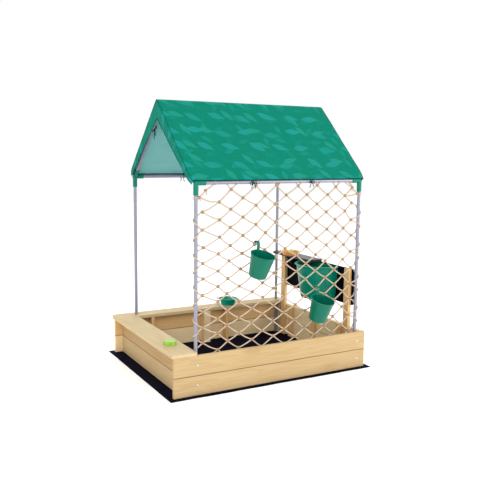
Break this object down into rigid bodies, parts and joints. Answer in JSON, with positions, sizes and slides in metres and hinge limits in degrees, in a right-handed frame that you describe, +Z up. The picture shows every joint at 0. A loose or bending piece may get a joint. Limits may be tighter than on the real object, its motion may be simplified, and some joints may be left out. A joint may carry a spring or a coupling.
{
  "type": "sandbox with cover",
  "caption": "Wooden plank sandbox with an L-shaped bench, a tube frame with a pitched fabric roof, a knotted rope net with hanging buckets and a play panel with a tub.",
  "frame": {"origin": "centre of the plank box on the ground, at the underside of the ground sheet", "axes": "+Z up, +X along the front wall from the bench end to the play panel end, +Y from the net side to the back bench"},
  "size_m": [1.26, 1.0801, 1.5228],
  "materials": {
    "sheet_black": "matt woven ground membrane",
    "wood": "planed pine, clear finish",
    "steel_tube": "light grey satin coated steel tube",
    "zinc": "zinc plated",
    "green_plastic_socket": "moulded socket",
    "roof_cloth": "coated polyester with a tone-on-tone leaf print",
    "dark_cord": "thin cord",
    "net_rope": "beige knotted rope",
    "chalkboard_black": "matt black board",
    "shelf_black": "satin black",
    "green_plastic": "glossy moulded plastic",
    "orange_plastic": "glossy moulded plastic",
    "lime_plastic": "glossy moulded plastic"
  },
  "bodies": {
    "sandbox": {"bench_screws": "zinc", "chalkboard": "chalkboard_black", "connector_back_left": "green_plastic_socket", "connector_back_right": "green_plastic_socket", "connector_front_left": "green_plastic_socket", "connector_front_right": "green_plastic_socket", "connector_ridge_left": "green_plastic_socket", "connector_ridge_right": "green_plastic_socket", "corner_blocks": "wood", "corner_screws": "zinc", "eave_tube_back": "steel_tube", "eave_tube_front": "steel_tube", "ground_sheet": "sheet_black", "net": "net_rope", "net_lashing": "net_rope", "panel_post_back": "wood", "panel_post_front": "wood", "panel_screws": "zinc", "pole_back_left": "steel_tube", "pole_back_right": "steel_tube", "pole_bolts": "zinc", "pole_front_left": "steel_tube", "pole_front_right": "steel_tube", "pole_nuts": "zinc", "rafter_back_left": "steel_tube", "rafter_back_right": "steel_tube", "rafter_front_left": "steel_tube", "rafter_front_right": "steel_tube", "ridge_tube": "steel_tube", "right_wall_cleats": "wood", "roof_cover": "roof_cloth", "roof_ties": "dark_cord", "seat_back": "wood", "seat_brackets_back": "wood", "seat_brackets_left": "wood", "seat_left": "wood", "seat_post": "wood", "shelf": "shelf_black", "shelf_gussets": "shelf_black", "tub_pegs": "zinc", "wall_back_lower": "wood", "wall_back_upper": "wood", "wall_front_lower": "wood", "wall_front_upper": "wood", "wall_left_lower": "wood", "wall_left_upper": "wood", "wall_right_lower": "wood", "wall_right_upper": "wood"},
    "bucket_left": {"bucket_left": "green_plastic", "bucket_hook_left": "green_plastic"},
    "bucket_right": {"bucket_right": "green_plastic", "bucket_hook_right": "green_plastic"},
    "tub": {"tub": "green_plastic"},
    "pan": {"pan": "orange_plastic"},
    "pan_mould": {"pan_mould": "lime_plastic"},
    "pot": {"pot": "green_plastic"},
    "seat_mould": {"seat_mould": "lime_plastic"}
  },
  "joints": [
    {"name": "bucket_left_swing", "type": "hinge", "parent": "sandbox", "child": "bucket_left", "pos_m": [-0.119, -0.432, 0.76], "axis": [-1, 0, 0], "range_deg": [0, 60]},
    {"name": "bucket_right_swing", "type": "hinge", "parent": "sandbox", "child": "bucket_right", "pos_m": [0.265, -0.432, 0.484], "axis": [-1, 0, 0], "range_deg": [0, 60]},
    {"name": "tub_pull_off", "type": "slide", "parent": "sandbox", "child": "tub", "axis": [-1, 0, 0], "range_m": [0, 0.12]},
    {"name": "pan_lift", "type": "slide", "parent": "sandbox", "child": "pan", "axis": [0, 0, 1], "range_m": [0, 0.2]},
    {"name": "pan_mould_lift", "type": "slide", "parent": "pan", "child": "pan_mould", "axis": [0, 0, 1], "range_m": [0, 0.1]},
    {"name": "pot_lift", "type": "slide", "parent": "sandbox", "child": "pot", "axis": [0, 0, 1], "range_m": [0, 0.25]},
    {"name": "seat_mould_lift", "type": "slide", "parent": "sandbox", "child": "seat_mould", "axis": [0, 0, 1], "range_m": [0, 0.25]}
  ]
}
